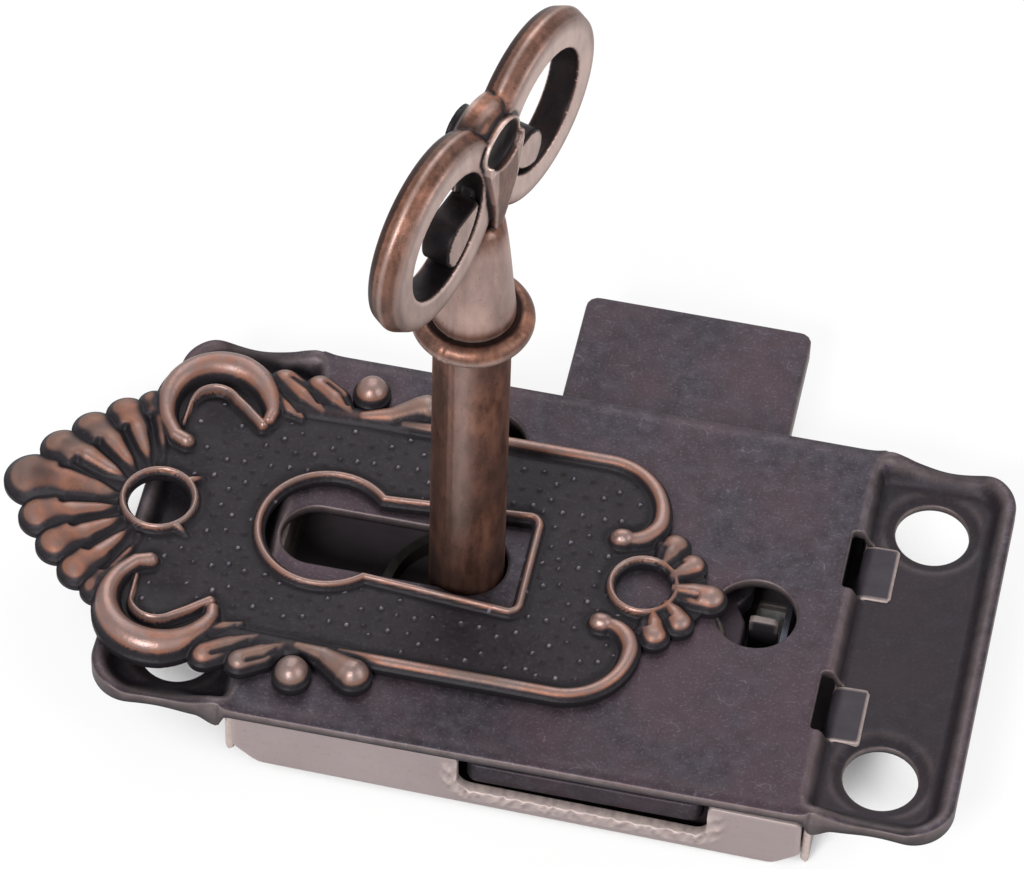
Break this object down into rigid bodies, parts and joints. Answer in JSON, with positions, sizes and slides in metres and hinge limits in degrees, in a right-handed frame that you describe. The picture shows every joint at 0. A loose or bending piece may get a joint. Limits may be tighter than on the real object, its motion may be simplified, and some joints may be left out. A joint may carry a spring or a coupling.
{
  "type": "furniture lock",
  "caption": "Surface furniture lock with a sliding bolt turned by a hollow key with a two-loop bow, and a loose ornamental escutcheon.",
  "frame": {"origin": "centre of the four screw holes, on the plane where the undersides of the two ears seat", "axes": "+Z out of the lock's face towards the key's bow, +Y the way the bolt is thrown, +X along the case away from the keyhole end"},
  "size_m": [0.0714, 0.0443, 0.0562],
  "materials": {
    "case_copper": "thin satin copper wash on folded steel sheet, pale and slightly pink",
    "cover_bronze": "antique bronze wash on pressed steel, dark and finely speckled, worn at the edges",
    "bolt_bronze": "antique bronze wash on steel plate, dark and finely speckled",
    "inner_steel": "plain turned steel, dull",
    "spring_steel": "tempered spring steel, blue grey",
    "escutcheon_bronze": "antiqued casting, near black in its hollows and rubbed copper on its high relief",
    "key_copper": "satin red copper wash on a casting, rubbed paler on its crests"
  },
  "bodies": {
    "case": {"case_box": "case_copper", "cover_plate": "cover_bronze", "bolt_stud": "inner_steel", "stud_spacer": "inner_steel", "key_post": "inner_steel", "ward_ring": "inner_steel", "detent_spring": "spring_steel", "spring_rivet": "inner_steel"},
    "bolt": {"bolt": "bolt_bronze"},
    "key": {"key": "key_copper"},
    "escutcheon": {"escutcheon": "escutcheon_bronze"}
  },
  "joints": [
    {"name": "key_turn", "type": "hinge", "parent": "case", "child": "key", "pos_m": [-0.0067, 0, 0], "axis": [0, 0, 1], "range_deg": [-140, 0]},
    {"name": "bolt_slide", "type": "slide", "parent": "case", "child": "bolt", "axis": [0, 1, 0], "range_m": [-0.011, 0], "deforming": ["detent_spring"]},
    {"name": "escutcheon_lift", "type": "slide", "parent": "case", "child": "escutcheon", "axis": [0, 0, 1], "range_m": [0, 0.022]}
  ],
  "couplings": [
    {"joint": "key_turn", "follows": "bolt_slide", "rad_per_m": 222.13}
  ]
}
